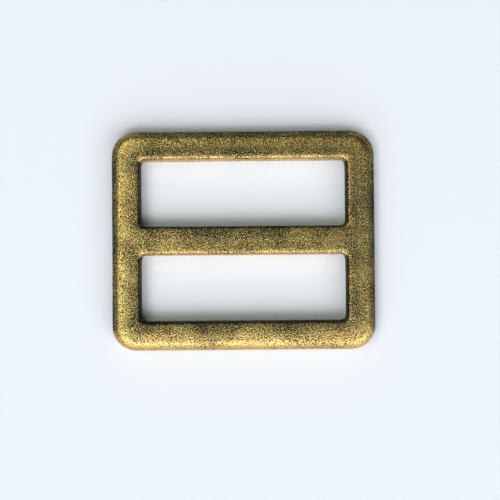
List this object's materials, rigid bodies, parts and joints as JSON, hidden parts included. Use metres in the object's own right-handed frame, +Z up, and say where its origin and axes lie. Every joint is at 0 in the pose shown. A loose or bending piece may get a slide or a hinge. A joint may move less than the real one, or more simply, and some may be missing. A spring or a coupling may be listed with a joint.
{
  "type": "strap slider buckle",
  "caption": "Rounded rectangular metal strap slider with a fixed centre bar between long slots; webbing loops over the bar so a strap's length can be set.",
  "frame": {"origin": "centre of the flat back face, on the surface that the slider lies on", "axes": "+X along the centre bar, across the strap; +Y along the strap; +Z up through the thickness, out of the rounded front"},
  "size_m": [0.0326, 0.0272, 0.0025],
  "materials": {
    "antique_brass": "antique brass plate on die-cast zinc, darkened and tumbled to a fine speckle, satin"
  },
  "bodies": {
    "root": {"slider_body": "antique_brass"}
  },
  "joints": []
}
